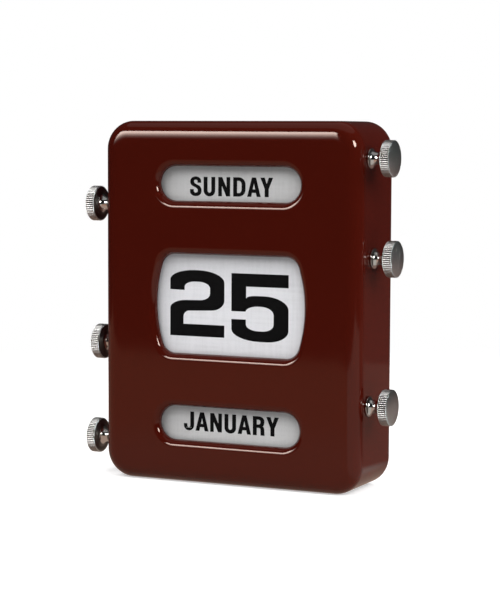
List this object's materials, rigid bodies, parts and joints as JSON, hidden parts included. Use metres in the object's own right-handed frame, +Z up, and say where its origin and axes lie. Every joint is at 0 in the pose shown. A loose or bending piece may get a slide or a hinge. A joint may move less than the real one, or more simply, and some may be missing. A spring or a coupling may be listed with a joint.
{
  "type": "perpetual desk calendar",
  "caption": "Upright box-shaped perpetual desk calendar: printed bands for day, date and month wind between rollers behind rimmed windows, turned by knurled side knobs.",
  "frame": {"origin": "centre of the case's base, on the surface that it stands on", "axes": "+X to the right as seen from the front, +Y to the back, +Z up"},
  "size_m": [0.1332, 0.034, 0.146],
  "materials": {
    "enamel": "glossy dark red-brown enamel",
    "knob_nickel": "bright nickel plate, finely turned faces",
    "band_cloth": "starched off-white cloth tape with black print",
    "frame_steel": "plain rolled steel sheet",
    "zinc_steel": "bright zinc plate",
    "shaft_steel": "ground steel rod",
    "spring_steel": "blued spring steel",
    "core_aluminium": "drawn tube",
    "bush_brass": "turned"
  },
  "bodies": {
    "case": {"front_case": "enamel", "back_cover": "enamel", "corner_lugs": "zinc_steel", "back_screws": "zinc_steel", "left_cheek": "frame_steel", "right_cheek": "frame_steel", "cheek_rivets": "zinc_steel", "left_bushes": "bush_brass", "right_bushes": "bush_brass"},
    "day_upper_roller": {"day_upper_shaft": "shaft_steel", "day_upper_core": "core_aluminium", "day_upper_roll": "band_cloth", "day_upper_washer": "spring_steel", "day_upper_knob": "knob_nickel"},
    "day_lower_roller": {"day_lower_shaft": "shaft_steel", "day_lower_core": "core_aluminium", "day_lower_roll": "band_cloth", "day_lower_washer": "spring_steel", "day_lower_knob": "knob_nickel"},
    "day_run": {"day_band": "band_cloth"},
    "date_upper_roller": {"date_upper_shaft": "shaft_steel", "date_upper_core": "core_aluminium", "date_upper_roll": "band_cloth", "date_upper_washer": "spring_steel", "date_upper_knob": "knob_nickel"},
    "date_lower_roller": {"date_lower_shaft": "shaft_steel", "date_lower_core": "core_aluminium", "date_lower_roll": "band_cloth", "date_lower_washer": "spring_steel", "date_lower_knob": "knob_nickel"},
    "date_run": {"date_band": "band_cloth"},
    "month_upper_roller": {"month_upper_shaft": "shaft_steel", "month_upper_core": "core_aluminium", "month_upper_roll": "band_cloth", "month_upper_washer": "spring_steel", "month_upper_knob": "knob_nickel"},
    "month_lower_roller": {"month_lower_shaft": "shaft_steel", "month_lower_core": "core_aluminium", "month_lower_roll": "band_cloth", "month_lower_washer": "spring_steel", "month_lower_knob": "knob_nickel"},
    "month_run": {"month_band": "band_cloth"}
  },
  "joints": [
    {"name": "day_upper_turn", "type": "hinge", "parent": "case", "child": "day_upper_roller", "pos_m": [0, -0.0063, 0.13155], "axis": [-1, 0, 0], "range_deg": [0, 120.9]},
    {"name": "day_lower_turn", "type": "hinge", "parent": "case", "child": "day_lower_roller", "pos_m": [0, -0.0063, 0.11205], "axis": [-1, 0, 0], "range_deg": [0, 120.9]},
    {"name": "day_band_slide", "type": "slide", "parent": "case", "child": "day_run", "axis": [0, 0, 1], "range_m": [0, 0.0134]},
    {"name": "date_upper_turn", "type": "hinge", "parent": "case", "child": "date_upper_roller", "pos_m": [0, -0.0024, 0.0925], "axis": [-1, 0, 0], "range_deg": [-47, 47]},
    {"name": "date_lower_turn", "type": "hinge", "parent": "case", "child": "date_lower_roller", "pos_m": [0, -0.0024, 0.0543], "axis": [-1, 0, 0], "range_deg": [-47, 47]},
    {"name": "date_band_slide", "type": "slide", "parent": "case", "child": "date_run", "axis": [0, 0, 1], "range_m": [-0.009, 0.009]},
    {"name": "month_upper_turn", "type": "hinge", "parent": "case", "child": "month_upper_roller", "pos_m": [0, -0.0063, 0.03475], "axis": [-1, 0, 0], "range_deg": [0, 120.9]},
    {"name": "month_lower_turn", "type": "hinge", "parent": "case", "child": "month_lower_roller", "pos_m": [0, -0.0063, 0.01525], "axis": [-1, 0, 0], "range_deg": [0, 120.9]},
    {"name": "month_band_slide", "type": "slide", "parent": "case", "child": "month_run", "axis": [0, 0, 1], "range_m": [0, 0.0134]}
  ],
  "couplings": [
    {"joint": "day_lower_turn", "follows": "day_upper_turn", "ratio": 1},
    {"joint": "day_band_slide", "follows": "day_upper_turn", "m_per_rad": 0.00635},
    {"joint": "date_lower_turn", "follows": "date_upper_turn", "ratio": 1},
    {"joint": "date_band_slide", "follows": "date_upper_turn", "m_per_rad": 0.01095},
    {"joint": "month_lower_turn", "follows": "month_upper_turn", "ratio": 1},
    {"joint": "month_band_slide", "follows": "month_upper_turn", "m_per_rad": 0.00635}
  ]
}
